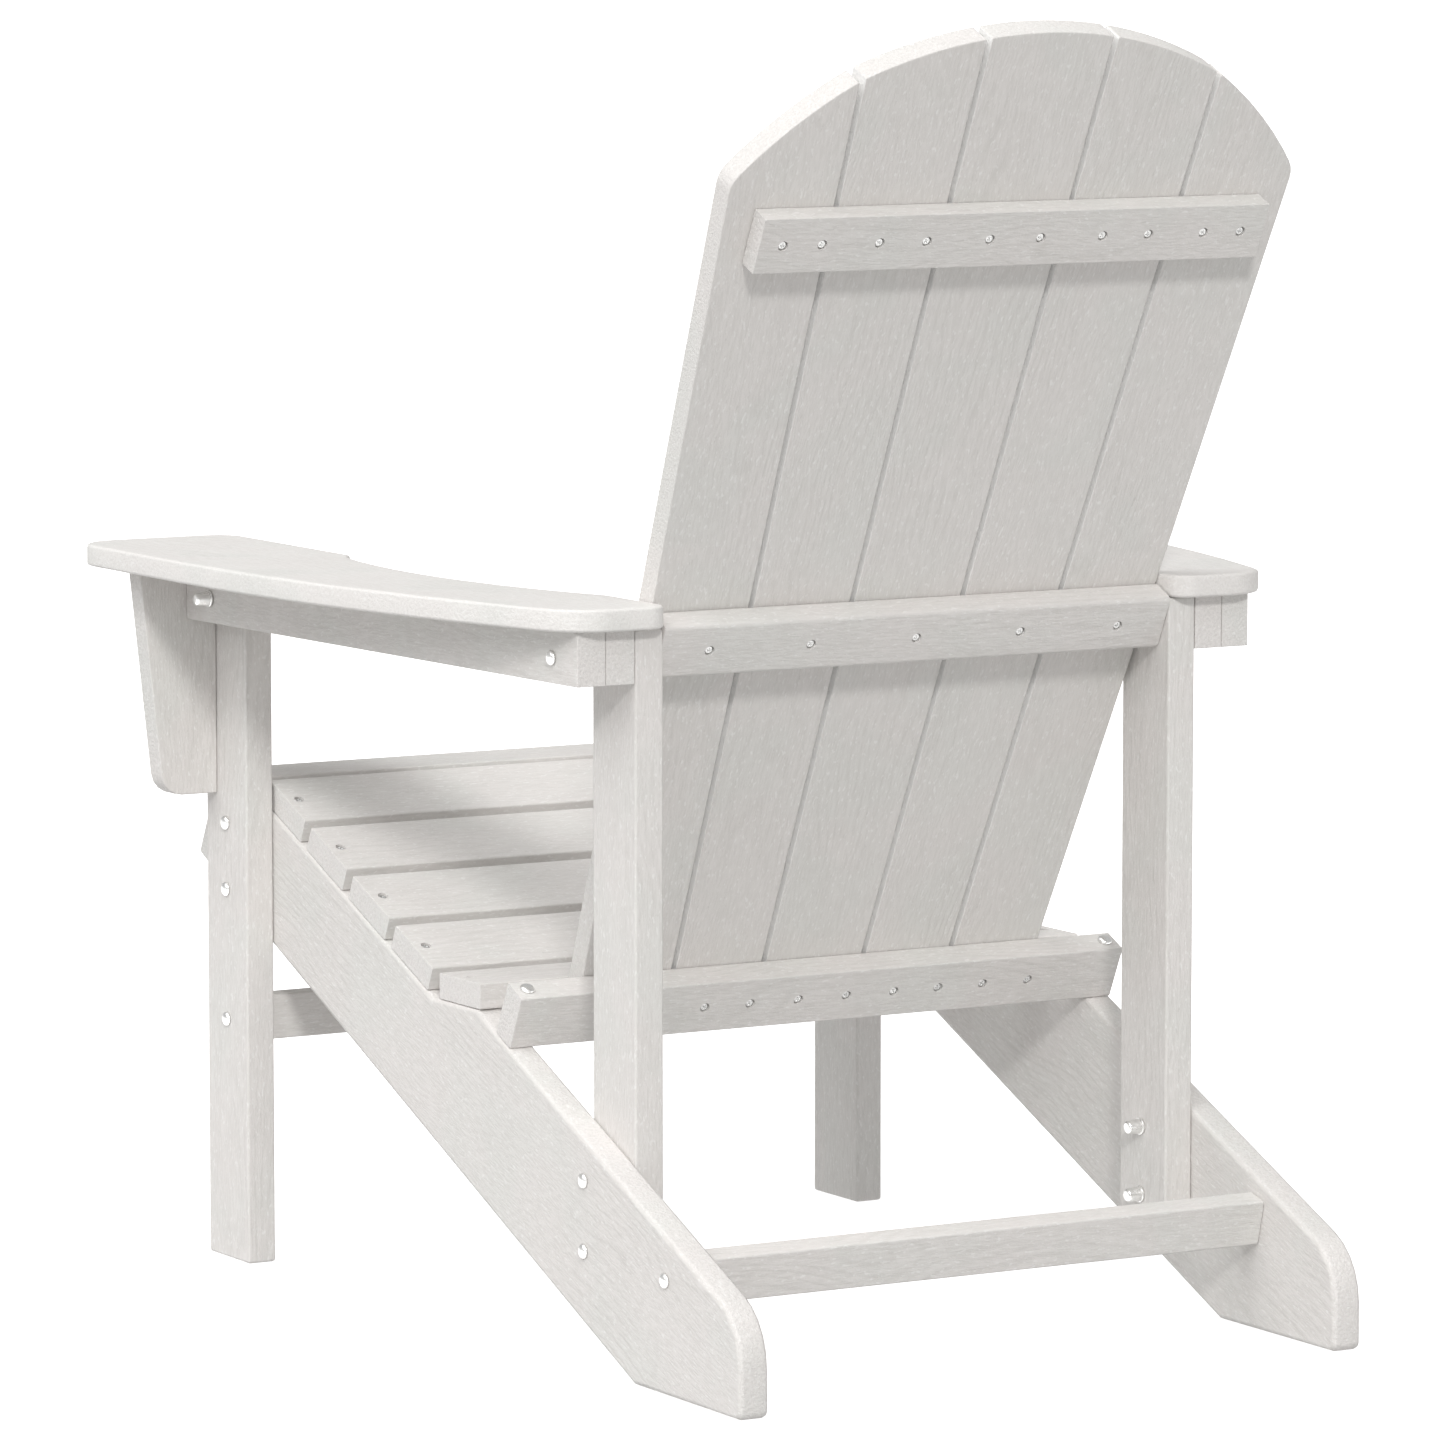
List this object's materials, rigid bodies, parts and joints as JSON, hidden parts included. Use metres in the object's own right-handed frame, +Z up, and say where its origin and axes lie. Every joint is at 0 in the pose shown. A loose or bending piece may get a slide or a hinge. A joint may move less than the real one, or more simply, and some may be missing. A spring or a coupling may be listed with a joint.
{
  "type": "adirondack chair",
  "caption": "Adirondack chair in white plastic lumber: raked side boards, rolled-over slatted seat, arched fan back on rails and wide curved arms on bracketed legs.",
  "frame": {"origin": "on the floor, under the middle of the chair's bounding box", "axes": "+Z up, -Y the way the sitter faces, +X the sitter's left"},
  "size_m": [0.72, 0.8176, 0.9393],
  "materials": {
    "slat_lumber": "embossed wood grain, satin",
    "frame_lumber": "embossed wood grain, satin",
    "arm_lumber": "embossed wood grain, satin",
    "bolt_steel": "polished stainless",
    "screw_steel": "stainless"
  },
  "bodies": {
    "root": {"seat_slat_1": "slat_lumber", "seat_slat_2": "slat_lumber", "seat_slat_3": "slat_lumber", "seat_slat_4": "slat_lumber", "seat_slat_5": "slat_lumber", "seat_slat_6": "slat_lumber", "seat_slat_7": "slat_lumber", "back_slat_1": "slat_lumber", "back_slat_2": "slat_lumber", "back_slat_3": "slat_lumber", "back_slat_4": "slat_lumber", "back_slat_5": "slat_lumber", "back_rail_lower": "frame_lumber", "back_rail_middle": "frame_lumber", "back_rail_upper": "frame_lumber", "front_stretcher": "frame_lumber", "rear_stretcher": "frame_lumber", "side_board_left": "frame_lumber", "front_leg_left": "frame_lumber", "rear_leg_left": "frame_lumber", "arm_rail_outer_left": "frame_lumber", "arm_rail_inner_left": "frame_lumber", "arm_bracket_left": "frame_lumber", "arm_left": "arm_lumber", "front_leg_bolt_left_1": "bolt_steel", "front_leg_bolt_left_2": "bolt_steel", "rear_leg_bolt_left_1": "bolt_steel", "rear_leg_bolt_left_2": "bolt_steel", "front_stretcher_bolt_left": "bolt_steel", "rear_stretcher_bolt_left": "bolt_steel", "arm_rail_rear_bolt_left": "bolt_steel", "arm_rail_front_bolt_left": "bolt_steel", "lower_rail_bolt_left": "bolt_steel", "side_board_right": "frame_lumber", "front_leg_right": "frame_lumber", "rear_leg_right": "frame_lumber", "arm_rail_outer_right": "frame_lumber", "arm_rail_inner_right": "frame_lumber", "arm_bracket_right": "frame_lumber", "arm_right": "arm_lumber", "front_leg_bolt_right_1": "bolt_steel", "front_leg_bolt_right_2": "bolt_steel", "rear_leg_bolt_right_1": "bolt_steel", "rear_leg_bolt_right_2": "bolt_steel", "front_stretcher_bolt_right": "bolt_steel", "rear_stretcher_bolt_right": "bolt_steel", "arm_rail_rear_bolt_right": "bolt_steel", "arm_rail_front_bolt_right": "bolt_steel", "lower_rail_bolt_right": "bolt_steel", "upper_rail_screw_1": "screw_steel", "upper_rail_screw_2": "screw_steel", "upper_rail_screw_3": "screw_steel", "upper_rail_screw_4": "screw_steel", "upper_rail_screw_5": "screw_steel", "upper_rail_screw_6": "screw_steel", "upper_rail_screw_7": "screw_steel", "upper_rail_screw_8": "screw_steel", "upper_rail_screw_9": "screw_steel", "upper_rail_screw_10": "screw_steel"}
  },
  "joints": []
}
